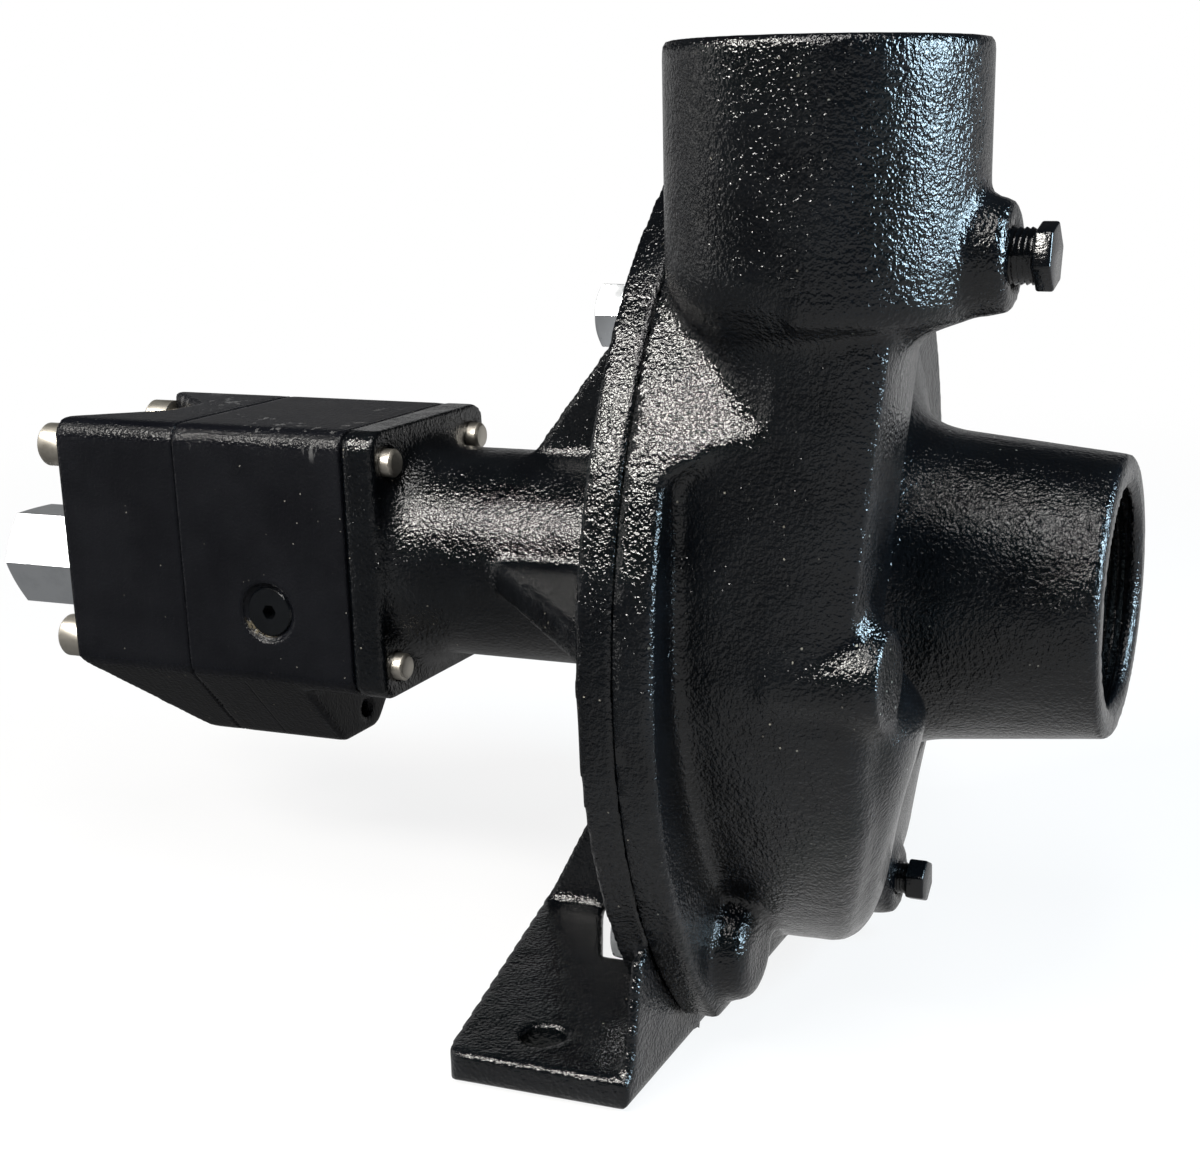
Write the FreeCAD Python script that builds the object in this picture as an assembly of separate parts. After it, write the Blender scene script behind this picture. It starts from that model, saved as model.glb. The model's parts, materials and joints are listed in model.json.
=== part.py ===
import FreeCAD
import Part
import math
import os

V = FreeCAD.Vector
os.makedirs("parts", exist_ok=True)

# Everything is modelled about the shaft: X runs along it towards the suction and is 0 at the joint
# between bracket and casing, Y points away from the side with the discharge, Z is up. Millimetres.
shaft_height = 104.8      # underside of the foot to the shaft
foot_hole_x = -29.4       # line of the two foot holes

# Bracket and casing joint
ring_r = 97.0             # casing seal ring
ring_w = 3.8
ring_d = 2.7
ring_to_bolt = 15.0       # land between the seal ring and the bolt circle
bolt_r = ring_r + ring_to_bolt
bolt_edge = 17.6          # bolt circle to the edge of disc and flange
disc_r = bolt_r + bolt_edge
disc_t = 9.0
flange_t = 9.4
flat_z = -95.0            # the casing flange is cut flat here
bolt_angle = 44.0
bolt_shank_r = 4.76
bolt_end = 13.5           # how far the bolts reach into the casing side
hole_spare = 1.0
pad_t = 3.0
washer_t = 2.0

# Impeller and chamber
imp_r = 72.0
imp_x0 = 1.2
imp_gap = 4.0
chamber_r = imp_r + imp_gap

# Casing
wall = 6.0
tongue = 60.0             # angle at which the scroll starts, from -Y over +Z
widen = 240.0             # angle from which it also grows forward
scroll_r0 = chamber_r + wall + 4.0
scroll_r1 = disc_r - 13.1
scroll_x0 = 20.0
scroll_x1 = 56.5
hub_in = scroll_r0 - 28.0
suction_x = 90.5
suction_r = 37.4
suction_bore = 28.6
discharge_x = 36.6
discharge_z = 137.0
discharge_r = 35.0
discharge_bore = 22.6
discharge_inset = 2.8     # discharge boss inside the disc's edge
discharge_y = -(disc_r - discharge_inset - discharge_r)
vent_x = 78.0             # end of the boss under the discharge
vent_z = discharge_z - 43.8
vent_stand = 2.2          # thread left showing under the plug's head
vent_r = 6.0
drain_x = 32.0
drain_z = -86.5
drain_r = 4.5
drain_stand = 1.4
lug_x = 17.5              # end of the lug round the near lower bolt
pad_x = 33.0
ledge_angle = 21.5        # where the pad over the near upper bolt starts

# Bracket barrel, foot and motor flange
barrel_r = 30.6
flange_x0 = -123.5
flange_x1 = -113.0
foot_x = -47.0
foot_mid_x = -68.5
foot_mid_y = 23.4
foot_y = disc_r - 4.2
foot_t = 8.7
foot_hole_edge = 16.1
foot_hole_y = foot_y - foot_hole_edge
foot_hole_r = 5.7
post_y = 27.5             # half width of the post between foot and barrel
post_wall = 8.0
bearing_x0 = -107.0
bearing_x1 = -92.0
bearing_out = 26.0
bearing_in = 12.5

# Motor
half_y = 34.5
half_z = 39.0
corner_r = 6.0
kink_z = -35.0            # the belly tapers in from here
low_z = -61.0
low_y = 10.5
low_end_x = -190.6        # lower rear end of the belly
seam_x = -179.5
plate_x = -162.0
low_x = -142.0
rear_x = -221.0
recess_x = -198.0
screw_y = half_y - 8.0
screw_z = half_z - 9.2
screw_r = 4.0
gear_m = 2.5
gear_n = 12
gear_c = gear_m * gear_n
gear_tip = gear_m * (gear_n + 2) / 2
journal = 8.5
bush_r = 12.0
bush_l = 13.0
port_z = -11.0
second_z = 24.0
port_boss_x = -213.0
port_floor_x = recess_x - 2.0
side_x = plate_x + 11.0   # side port
side_z = -15.0
hex_x0 = -260.5
hex_af = 28.8

# Shaft
shaft_r = 9.5
shaft_x0 = seam_x - 12.5
run = 0.05                # running clearance on the radius
nose_x = 20.0


def cyl(x0, x1, r, y=0.0, z=0.0):
    return Part.makeCylinder(r, x1 - x0, V(x0, y, z), V(1, 0, 0))


def ring(x0, x1, r0, r1, y=0.0, z=0.0):
    return cyl(x0, x1, r1, y, z).cut(cyl(x0 - 1, x1 + 1, r0, y, z))


def box(x0, x1, y0, y1, z0, z1):
    return Part.makeBox(x1 - x0, y1 - y0, z1 - z0, V(x0, y0, z0))


def face(points):
    return Part.Face(Part.makePolygon(points + [points[0]]))


def turned(profile, y=0.0, z=0.0):
    """Solid of revolution about the shaft direction from (x, radius) points."""
    f = face([V(x, y + r, z) for x, r in profile])
    return f.revolve(V(0, y, z), V(1, 0, 0), 360)


def turned_up(profile, x, y):
    """Solid of revolution about an upright axis from (radius, z) points."""
    f = face([V(x + r, y, z) for r, z in profile])
    return f.revolve(V(x, y, 0), V(0, 0, 1), 360)


def across(points, x0, x1):
    """Prism along X from (y, z) points."""
    return face([V(x0, y, z) for y, z in points]).extrude(V(x1 - x0, 0, 0))


def rounded(points, radius, x0, x1):
    """Prism along X from (y, z) corners, each corner turned into an arc."""
    arcs = []
    for i, p in enumerate(points):
        p = V(x0, *p)
        a = V(x0, *points[i - 1]) - p
        b = V(x0, *points[(i + 1) % len(points)]) - p
        half = a.getAngle(b) / 2
        a.normalize()
        b.normalize()
        middle = a + b
        middle.normalize()
        reach = radius / math.tan(half)
        arcs.append((p + a * reach, p + middle * (radius / math.sin(half) - radius), p + b * reach))
    edges = []
    for i, (start, middle, end) in enumerate(arcs):
        edges.append(Part.Edge(Part.LineSegment(arcs[i - 1][2], start)))
        edges.append(Part.Arc(start, middle, end).toShape())
    return Part.Face(Part.Wire(edges)).extrude(V(x1 - x0, 0, 0))


def sideways(points, y0, y1):
    """Prism along Y from (x, z) points."""
    return face([V(x, y0, z) for x, z in points]).extrude(V(0, y1 - y0, 0))


def hexagon(af, x0, x1, y=0.0, z=0.0, turn=0.0):
    r = af / math.sqrt(3)
    a = [math.radians(turn + 60 * i) for i in range(6)]
    return across([(y + r * math.cos(t), z + r * math.sin(t)) for t in a], x0, x1)


def hex_head(af, x0, x1, y, z, turn=0.0, end=-1):
    """Hexagon with the corners turned off at one end."""
    h = hexagon(af, x0, x1, y, z, turn)
    r = af / math.sqrt(3)
    c = 0.9
    tip = [(x0, 0), (x0, af / 2 - 0.2), (x0 + c, r + 0.3), (x1, r + 0.3), (x1, 0)]
    if end > 0:
        tip = [(x0 + x1 - x, rr) for x, rr in tip]
    return h.common(turned(tip, y, z))


def fuse(shapes):
    s = shapes[0].multiFuse(shapes[1:])
    return s.removeSplitter()


def cut(shape, tools):
    return shape.cut(tools)


def polar(r, deg):
    """(y, z) at an angle counted from -Y over +Z."""
    a = math.radians(deg)
    return -r * math.cos(a), r * math.sin(a)


def loop(points):
    c = Part.BSplineCurve()
    c.interpolate(Points=points, PeriodicFlag=True)
    return Part.Wire([c.toShape()])


def oval(cx, cr, hx, hr, n=4.0, count=20):
    out = []
    for i in range(count):
        a = 2 * math.pi * i / count
        c, s = math.cos(a), math.sin(a)
        out.append((cx + hx * math.copysign(abs(c) ** (2 / n), c), cr + hr * math.copysign(abs(s) ** (2 / n), s)))
    return out


def export(name, shape):
    s = shape.copy()
    s.translate(V(-foot_hole_x, 0, shaft_height))
    s.exportStep("parts/" + name + ".step")
    b = s.BoundBox
    print(name, len(s.Solids), s.isValid(), [round(v, 1) for v in (b.XMin, b.XMax, b.YMin, b.YMax, b.ZMin, b.ZMax)])


bolts = [polar(bolt_r, a) for a in (bolt_angle, -bolt_angle, 180 - bolt_angle, 180 + bolt_angle)]
screws = [(sy * screw_y, sz * screw_z) for sy in (-1, 1) for sz in (-1, 1)]


def scroll_size(deg):
    """Outer radius and front face of the scroll, growing from the tongue to the throat."""
    t = (deg - tongue) / (360 - tongue)
    u = max(0.0, (deg - widen) / (360 - widen))
    return scroll_r0 + (scroll_r1 - scroll_r0) * t ** 3.5, scroll_x0 + (scroll_x1 - scroll_x0) * u * u * (3 - 2 * u)


def scroll(inner):
    wires = []
    for k in range(13):
        deg = tongue + (360 - tongue) * k / 12
        r, x = scroll_size(deg)
        if inner:
            flat = oval(x / 2, (r + hub_in) / 2, x / 2 - wall, (r - hub_in) / 2 - wall)
        else:
            flat = oval(x / 2 - 4, (r + hub_in) / 2, x / 2 + 4, (r - hub_in) / 2, 3.0)
        wires.append(loop([V(px, *polar(pr, deg)) for px, pr in flat]))
    return Part.makeLoft(wires, True, False)


def throat(inner):
    """Neck from the end of the scroll up to the discharge boss, from (z, x0, x1, depth, reach) sections."""
    off = wall if inner else 0.0
    r1 = scroll_r1
    rows = [(-0.4, -4.0, scroll_x1, 58.5, r1), (34, 1.0, 59.8, 57.0, r1 + 0.5), (60, 8.0, 62.0, 56.5, r1 + 1.0), (76, 12.0, 63.0, 54.0, r1 + 1.5)]
    wires = []
    for z, x0, x1, deep, y1 in rows:
        x0 = max(x0, 0.0) if inner else x0
        flat = oval((x0 + x1) / 2, y1 - deep / 2, (x1 - x0) / 2 - off, deep / 2 - off, 3.4)
        wires.append(loop([V(px, -py, z) for px, py in flat]))
    return Part.makeLoft(wires, True, False)


def above_ledge(x0, x1, top):
    """Everything above the sloping ledge of the pad, which rises towards the suction."""
    slope = 13.6 / (pad_x - flange_t)
    s = sideways([(x0, 0), (flange_t, 0), (x1, (x1 - flange_t) * slope), (x1, top), (x0, top)], -1.4 * disc_r, 0)
    s.rotate(V(0, 0, 0), V(1, 0, 0), -ledge_angle)
    return s


def make_neck():
    """Throat, with its rear near corner cut away above the ledge to clear the upper near bolt."""
    edge_y = (disc_r - 35.5, disc_r - 13.9)
    lean = (edge_y[1] - edge_y[0]) / 30.5
    x0, x1 = -20.0, 50.0
    far = [V(x, -(edge_y[0] + lean * x), -20) for x in (x0, x1)]
    wedge = face(far + [V(x1, -1.3 * disc_r, -20), V(x0, -1.3 * disc_r, -20)]).extrude(V(0, 0, 140))
    return throat(False).cut(wedge.common(above_ledge(-30, 80, 140)))


def make_casing():
    rim = cyl(0, flange_t, disc_r)
    flat = box(-1, 40, -150, 150, -200, flat_z)
    rim = rim.cut(flat)
    land = ring_r + 2.0
    front = turned([(0, 0), (0, land), (flange_t, land), (14, land - 9), (19.5, 74), (25, 60), (30, 50.5), (34, 46), (39, 43.2),
                    (45, 41.8), (suction_x - 1, suction_r), (suction_x, suction_r - 0.8), (suction_x, 0)])
    half = box(0, 200, -200, 200, -200, 200)
    body = scroll(False).common(half)
    neck = make_neck().common(half)
    low = discharge_z - 79.0
    out = discharge_r
    top = turned_up([(0, low), (out - 10.5, low), (out - 10.5, low + 12), (out - 8.5, low + 17.5), (out - 5, low + 21.5),
                     (out - 1.5, low + 26.5), (out, low + 31.5), (out, discharge_z - 1), (out - 0.8, discharge_z),
                     (0, discharge_z)], discharge_x, discharge_y)
    pad = ring(0, pad_x, disc_r - 41.6, disc_r).common(above_ledge(-1, pad_x + 1, 70))
    pad = pad.common(box(-1, pad_x + 1, -1.2 * disc_r, discharge_y + 20, 0, disc_r))
    lug_y, lug_z = bolts[1]
    lug = turned([(0, 0), (0, 14), (lug_x - 4.5, 13.6), (lug_x - 1.5, 12.2), (lug_x, 9), (lug_x, 0)], lug_y, lug_z)
    vent = turned([(62, 0), (62, 13.2), (vent_x - 5.5, 12.6), (vent_x - 1, 11.6), (vent_x, 10.6), (vent_x, 0)], discharge_y, vent_z)
    gauge = turned([(30, 0), (30, 12.5), (52, 12.2), (58, 11), (60, 9), (60, 0)], -scroll_r1 + 11.5, 2)
    drain = turned([(8, 0), (8, 12), (drain_x - 4, 10.8), (drain_x - 1, 10), (drain_x, 9), (drain_x, 0)], 0, drain_z)
    s = rim
    for piece in (front, body, neck, top, pad, lug, vent, gauge, drain):
        s = s.fuse(piece)
    hollow = turned([(-1, 0), (-1, chamber_r), (13, chamber_r), (14.2, chamber_r - 8), (20, 50), (24.2, 41), (25, 32.5), (25, 29.5),
                     (34, 29.5), (34, 27), (60, 27), (62, suction_bore), (suction_x - 2, suction_bore),
                     (suction_x + 0.1, suction_bore + 2.1), (suction_x + 0.1, 0)])
    up = turned_up([(0, 60), (20, 60), (21, discharge_z - 33), (discharge_bore, discharge_z - 31), (discharge_bore, discharge_z - 2),
                    (discharge_bore + 2.1, discharge_z + 0.1), (0, discharge_z + 0.1)], discharge_x, discharge_y)
    tools = [hollow, scroll(True), throat(True), up]
    tools += [cyl(-1, bolt_end + hole_spare, bolt_shank_r + 0.04, y, z) for y, z in bolts]
    tools += [cyl(60, vent_x + 1, vent_r + 0.1, discharge_y, vent_z), cyl(10, drain_x + 1, drain_r + 0.1, 0, drain_z)]
    for tool in tools:
        s = s.cut(tool)
    return s


def rib(deg, reach):
    """Gusset from the barrel to the back of the disc, at an angle about the shaft."""
    s = sideways([(-78, 24), (-78, barrel_r), (-disc_t - 0.5, reach), (-disc_t + 1, reach), (-disc_t + 1, 24)], -4.2, 4.2)
    s.rotate(V(0, 0, 0), V(1, 0, 0), deg)
    return s


def make_bracket():
    disc = cyl(-disc_t, 0, disc_r)
    web_z = 62.0
    web_y = math.sqrt(disc_r ** 2 - web_z ** 2)
    low = -shaft_height
    web = across([(-web_y, -web_z), (-foot_y, low), (foot_y, low), (web_y, -web_z)], -disc_t, 0)
    plate = []
    for s in (-1, 1):
        side = [(0, s * foot_y), (foot_x, s * foot_y), (foot_x - 2.3, s * (foot_y - 2.9)), (foot_mid_x, s * foot_mid_y)]
        plate += side if s < 0 else side[::-1]
    foot = face([V(x, y, low) for x, y in plate]).extrude(V(0, 0, foot_t))
    keep = box(-200, 1, -200, 200, low, 200)
    rear = foot_mid_x + 1.5
    block = sideways([(rear, low), (rear, low + foot_t), (-51.5, -67), (-34, -30), (-disc_t, -30), (-disc_t, low)], -post_y, post_y)
    inner = post_y - post_wall
    pocket = sideways([(rear + 7.5, low - 1), (rear + 7.5, low + foot_t), (-44.5, -67), (-36, -52), (-disc_t - 6, -52),
                       (-disc_t - 6, low - 1)], -inner, inner)
    barrel = turned([(flange_x0 + 1, 0), (flange_x0 + 1, 33), (flange_x1, 35), (flange_x1 + 1.5, 33.4), (flange_x1 + 4, 31.8), (flange_x1 + 8, 30.8),
                     (flange_x1 + 12, barrel_r), (-26, barrel_r), (-19, 32), (-13, 36), (-disc_t - 0.3, 44), (-1, 44), (-1, 0)])
    plate2 = motor_block(False, flange_x0, flange_x1)
    pads = [cyl(-disc_t - pad_t, -disc_t + 1, 11, y, z) for y, z in bolts]
    s = fuse([disc.common(keep), web, foot, block, barrel, plate2, rib(0, disc_r - 11.6), rib(90, bolt_r), rib(-90, bolt_r)] + pads)
    bores = turned([(1, 0), (1, 19), (-14, 19), (-14, 17.5), (-23, 17.5), (-23, 11.5), (-27.5, 11.5), (-27.5, 22), (bearing_x1, 22),
                    (bearing_x1, bearing_out), (flange_x0 - 1, bearing_out), (flange_x0 - 1, 0)])
    groove = ring(-109.2, -107.3, 20, 27.4)
    seal = ring(-ring_d, 1, ring_r - ring_w / 2 - 0.2, ring_r + ring_w / 2 + 0.2)
    weep = Part.makeCylinder(4, 40, V(-48, 0, 0), V(0, 1, -1))
    tools = [bores, groove, seal, weep, pocket]
    tools += [cyl(-disc_t - pad_t - 1, 1, bolt_shank_r + 0.3, y, z) for y, z in bolts]
    tools += [cyl(flange_x0 - 1, flange_x1 + 1, screw_r + 0.05, y, z) for y, z in screws]
    tools += [Part.makeCylinder(foot_hole_r, 40, V(foot_hole_x, sy * foot_hole_y, -120)) for sy in (-1, 1)]
    return cut(s, tools)


def motor_block(belly, x0, x1):
    """Motor section with rounded corners, with or without the tapered belly round the lower gear."""
    top = [(-half_y, half_z), (half_y, half_z)]
    if belly:
        return rounded(top + [(half_y, kink_z), (low_y, low_z), (-low_y, low_z), (-half_y, kink_z)], corner_r, x0, x1)
    return rounded(top + [(half_y, -half_z), (-half_y, -half_z)], corner_r, x0, x1)


def twin(x0, x1, r):
    return cyl(x0, x1, r).fuse(cyl(x0, x1, r, 0, -gear_c))


def screw_holes(x0, x1):
    return [cyl(x0, x1, screw_r + 0.3, y, z) for y, z in screws]


def make_rear_cover():
    s = motor_block(True, rear_x, seam_x)
    # slanted end of the belly
    end = [(rear_x - 1, kink_z), (rear_x, kink_z), (low_end_x, low_z), (low_end_x, 2 * low_z), (rear_x - 1, 2 * low_z)]
    s = s.cut(sideways(end, -2 * half_y, 2 * half_y))
    # recess between the two side rails
    rail = half_y - 7.5
    r = face([V(rear_x - 1, -rail, -90), V(rear_x, -rail, -90), V(recess_x, -7, -90), V(recess_x, 7, -90), V(rear_x, rail, -90),
              V(rear_x - 1, rail, -90)])
    s = s.cut(r.extrude(V(0, 0, 180)))
    boss = turned([(recess_x + 2, 0), (recess_x + 2, 20.5), (recess_x, 20), (port_boss_x + 1, 19), (port_boss_x, 18), (port_boss_x, 0)], 0, port_z)
    s = fuse([s, boss.common(box(port_boss_x - 1, recess_x + 3, -rail + 0.5, rail - 0.5, -90, 90))])
    tools = [twin(seam_x - bush_l, seam_x + 1, bush_r), cyl(port_boss_x - 1, port_floor_x, 10.5, 0, port_z)]
    tools += [cyl(port_floor_x - 0.1, recess_x + 1, 9, 0, port_z)]
    tools += [turned([(port_boss_x - 1, 0), (port_boss_x - 1, 12.5), (port_boss_x + 2.2, 11.9), (port_boss_x + 2.2, 0)], 0, port_z)]
    tools += [cyl(recess_x - 1, recess_x + 12, 7.6, 0, second_z), cyl(recess_x - 1, recess_x + 1.2, 9, 0, second_z)]
    back = Part.makeCylinder(3.2, seam_x - recess_x + 9.5, V(port_floor_x, 3, port_z - 1), V(seam_x - recess_x + 3.5, 13, -3))
    feed = Part.makeCylinder(3.2, 42, V(seam_x - 8.5, -3, second_z - 2), V(9.5, -14, -36))
    return cut(s, tools + [back] + screw_holes(rear_x - 1, seam_x + 1) + [body_seal_ring(seam_x, -1, 0.15)])


def body_seal_ring(x, side, grow):
    """Racetrack seal round both gears, in a groove of one face."""
    x0, x1 = (x - 1.9, x) if side < 0 else (x, x + 1.9)
    if grow:
        x0, x1 = (x - 1.9, x + 1) if side < 0 else (x - 1, x + 1.9)
    out = []
    for r in (22.4 + grow, 20.0 - grow):
        mid = box(x0, x1, -r, r, -gear_c, 0)
        out.append(mid.fuse([cyl(x0, x1, r), cyl(x0, x1, r, 0, -gear_c)]))
    return out[0].cut(out[1]).removeSplitter()


def make_gear_housing():
    s = motor_block(True, seam_x, plate_x)
    return cut(s, [twin(seam_x - 1, plate_x + 1, gear_tip + 0.1).removeSplitter()] + screw_holes(seam_x - 1, plate_x + 1))


def make_front_cover():
    s = fuse([motor_block(True, plate_x, low_x), motor_block(False, low_x - 1, flange_x0), cyl(flange_x0 - 1, flange_x0 + 4, bearing_out - 0.05)])
    tools = [twin(plate_x - 1, plate_x + 14.5, bush_r), cyl(plate_x + 14, flange_x0 - 13.5, journal + 1.2)]
    tools += [cyl(flange_x0 - 14.5, flange_x0 + 5, 14)]
    tools += [cyl(low_x - 9, low_x + 1, 2.6, 3.6, low_z + 7.1), body_seal_ring(plate_x, 1, 0.15)]
    port = V(side_x, -half_y - 1, side_z)
    tools += [Part.makeCylinder(8.7, 2.6, port, V(0, 1, 0)), Part.makeCylinder(6.6, 15, port, V(0, 1, 0))]
    return cut(s, tools + screw_holes(plate_x - 1, flange_x0 + 5))


def gear_profile(phase):
    """Involute teeth as (y, z) points about the gear's own centre."""
    pitch = gear_c / 2
    press = math.radians(25)
    base = pitch * math.cos(press)
    root = pitch - 1.2 * gear_m
    half = math.pi / (2 * gear_n) - 0.012
    inv = math.tan(press) - press
    flank = []
    for k in range(5):
        r = base + 0.05 + (gear_tip - base - 0.05) * k / 4
        a = math.acos(base / r)
        flank.append((r, half + inv - (math.tan(a) - a)))
    pts = []
    for i in range(gear_n):
        mid = phase + 2 * math.pi * i / gear_n
        side = [(root, half + inv + 0.03)] + flank
        for r, a in side:
            pts.append((r * math.cos(mid - a), r * math.sin(mid - a)))
        for r, a in side[::-1]:
            pts.append((r * math.cos(mid + a), r * math.sin(mid + a)))
    return pts


def gear(x0, x1, z, phase):
    return across([(a, z + b) for a, b in gear_profile(phase)], x0, x1)


gear_x0 = seam_x + 2.1
gear_x1 = plate_x - 2.1
key_h = 1.5


def make_shaft():
    s = turned([(shaft_x0, 0), (shaft_x0, journal - 0.6), (shaft_x0 + 0.6, journal), (bearing_x0 - 1, journal), (bearing_x0 - 1, bearing_in),
                (bearing_x1, bearing_in), (bearing_x1, 14.5), (bearing_x1 + 6, 14.5), (bearing_x1 + 6, shaft_r), (nose_x - 0.6, shaft_r),
                (nose_x - 0.6, 6), (32.4, 6), (33.2, 5.2), (33.2, 0)])
    return s.cut(box(gear_x0 + 1, gear_x1 - 1, -1.5, 1.5, journal - 1.5, 20))


def make_impeller():
    back = turned([(imp_x0, shaft_r + 0.03), (imp_x0, imp_r), (3.8, imp_r), (4.6, 34), (8, 24), (14, 16.5), (nose_x, 15), (nose_x, shaft_r + 0.03)])
    front = [(9.6, imp_r), (11.9, imp_r), (13, imp_r - 4), (18.8, 50), (23, 41), (24, 31), (24.4, 26.2), (33.4, 26.2), (33.4, 23),
             (22, 23.2), (19.5, 30), (16, 45), (11, imp_r - 6)]
    shroud = turned(front)
    region = turned([(2.6, 13), (2.6, imp_r - 0.2), (10.4, imp_r - 0.2), (12, imp_r - 6), (17, 45.5), (20.5, 31), (20.5, 24), (14, 16)])
    vanes = []
    for i in range(5):
        line = []
        for k in range(9):
            t = k / 8
            line.append((19 + (imp_r - 18) * t, math.radians(72 * i + 100 * t - 18 * t * t)))
        outer = [(r * math.cos(a), r * math.sin(a)) for r, a in line]
        inner = [(r * math.cos(a + 2.6 / r), r * math.sin(a + 2.6 / r)) for r, a in line[::-1]]
        vanes.append(across(outer + inner, 2, 22).common(region))
    return fuse([back, shroud] + vanes)


def spring(x0, x1, radius, wire, turns):
    """Open coil between two planes, wire centres kept one wire radius inside them."""
    length = x1 - x0 - 2 * wire
    helix = Part.makeHelix(length / turns, length, radius)
    around = [math.radians(45 * i) for i in range(9)]
    section = Part.makePolygon([V(radius + wire * math.cos(a), 0, wire * math.sin(a)) for a in around])
    s = Part.Wire(helix).makePipeShell([section], True, True)
    s.rotate(V(0, 0, 0), V(0, 1, 0), 90)
    s.translate(V(x0 + wire, 0, 0))
    return s


def plug(x0, x1, af, r, y, z, length):
    """Hexagon head with a threaded stem running towards -X."""
    prof = [(x0 - length, 0), (x0 - length, r - 0.7)]
    n = int(length / 1.6)
    for i in range(n):
        a = x0 - length + 0.6 + i * 1.6
        prof += [(a, r - 0.6), (a + 0.5, r), (a + 0.9, r)]
    prof += [(x0, r - 0.5), (x0, 0)]
    return fuse([turned(prof, y, z), hex_head(af, x0, x1, y, z, 30, 1)])


def make_bolts():
    out = []
    for y, z in bolts:
        x = -disc_t - pad_t - washer_t
        stem = turned([(x - 1, 0), (x - 1, bolt_shank_r), (bolt_end - 0.8, bolt_shank_r), (bolt_end, bolt_shank_r - 0.8), (bolt_end, 0)], y, z)
        out.append(fuse([hex_head(14.3, x - 6.4, x, y, z, 90), stem]))
    return Part.makeCompound(out)


def make_screws():
    out = []
    for y, z in screws:
        x = rear_x
        end = flange_x1 + 3.5
        s = turned([(x - 8.2, 0), (x - 8.2, 5.9), (x - 7.5, 6.5), (x, 6.5), (x, screw_r), (end - 0.8, screw_r), (end, screw_r - 0.8), (end, 0)], y, z)
        out.append(s.cut(hexagon(6, x - 9, x - 4.2, y, z)))
    return Part.makeCompound(out)


def make_bearing():
    mid = (bearing_x0 + bearing_x1) / 2
    x0 = bearing_x0
    x1 = bearing_x1
    r_mid = 19.25
    ball = 3.9
    track = Part.makeTorus(r_mid, ball + 0.05, V(mid, 0, 0), V(1, 0, 0))
    outer = ring(x0, x1, 22.4, bearing_out - 0.02).cut(track)
    inner = ring(x0, x1, bearing_in + 0.01, 16.1).cut(track)
    balls = []
    pockets = []
    for i in range(9):
        a = 2 * math.pi * i / 9
        c = V(mid, r_mid * math.cos(a), r_mid * math.sin(a))
        balls.append(Part.makeSphere(ball, c))
        pockets.append(Part.makeSphere(ball + 0.1, c))
    cage = cut(ring(mid - 4.6, mid + 4.6, 18.1, 20.4), pockets)
    return outer, inner, Part.makeCompound(balls), cage


export("volute_casing", make_casing())
export("motor_bracket", make_bracket())
export("impeller", make_impeller())
export("impeller_washer", ring(nose_x, nose_x + 2.4, 6.05, 12.5))
nut_x = nose_x + 2.4
nut = hex_head(19, nut_x, nut_x + 8, 0, 0, 0, 1)
export("impeller_nut", nut.cut(cyl(nut_x - 1, nut_x + 9, 6.02)))
export("casing_seal_ring", ring(-ring_d + 0.02, -0.02, ring_r - ring_w / 2, ring_r + ring_w / 2))
export("wear_ring", ring(25.05, 33.9, 26.45, 29.48))
export("seal_seat", turned([(-21.6, 12.2), (-21.6, 15.2), (-16.5, 15.2), (-16.5, 16.2), (-14.0, 16.2), (-14.0, 12.2)]))
cup = turned([(-22.98, 12.2), (-22.98, 17.48), (-14.3, 17.48), (-14.3, 16.24), (-16.54, 16.24), (-16.54, 15.24), (-21.64, 15.24), (-21.64, 12.2)])
export("seal_seat_cup", cup)
head = turned([(-13.96, shaft_r + 0.4), (-13.96, 14.4), (-10.6, 14.4), (-10.6, 17.4), (-9.6, 17.4), (-9.6, 13.2), (-3.2, 12.6),
               (-3.2, shaft_r + 0.03), (-11, shaft_r + 0.03), (-11.5, shaft_r + 0.4)])
export("seal_head", head)
export("seal_spring", spring(-9.55, imp_x0 - 0.05, 15.4, 1.0, 3))
export("slinger", turned([(-44, shaft_r + 0.02), (-44, 12.5), (-41.5, 13), (-40.6, 19), (-39.4, 19), (-38.5, 13), (-36, 12.5), (-36, shaft_r + 0.02)]))
export("casing_bolts", make_bolts())
washer_x = -disc_t - pad_t - washer_t
washers = []
for wy, wz in bolts:
    w = ring(washer_x, washer_x + washer_t, bolt_shank_r + 0.35, 8.4, wy, wz)
    washers.append(w.cut(box(washer_x - 1, washer_x + washer_t + 1, wy - 0.6, wy + 0.6, wz, wz + 12)))
export("casing_lock_washers", Part.makeCompound(washers))
vent_head = vent_x + vent_stand
drain_head = drain_x + drain_stand
export("vent_plug", plug(vent_head, vent_head + 6.6, 13.0, vent_r, discharge_y, vent_z, 15))
export("drain_plug", plug(drain_head, drain_head + 6.8, 11.1, drain_r, 0, drain_z, 14))

export("rear_cover", make_rear_cover())
export("gear_housing", make_gear_housing())
export("front_cover", make_front_cover())
export("motor_shaft", make_shaft())
drive = gear(gear_x0, gear_x1, 0, math.pi / 2 + math.pi / gear_n)
drive = cut(drive, [cyl(gear_x0 - 1, gear_x1 + 1, journal + 0.02), box(gear_x0 - 1, gear_x1 + 1, -1.53, 1.53, 0, journal + key_h + 0.05)])
export("drive_gear", drive)
export("drive_key", box(gear_x0 + 1.05, gear_x1 - 1.05, -1.47, 1.47, journal - 1.47, journal + key_h))
idler = gear(gear_x0, gear_x1, -gear_c, math.pi / 2)
export("idler_gear", idler.cut(cyl(gear_x0 - 1, gear_x1 + 1, journal + 0.02, 0, -gear_c)))
pin_x1 = plate_x + 14
pin = turned([(shaft_x0, 0), (shaft_x0, journal - 0.6), (shaft_x0 + 0.6, journal), (pin_x1 - 0.6, journal), (pin_x1, journal - 0.6),
              (pin_x1, 0)], 0, -gear_c)
export("idler_shaft", pin)
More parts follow.
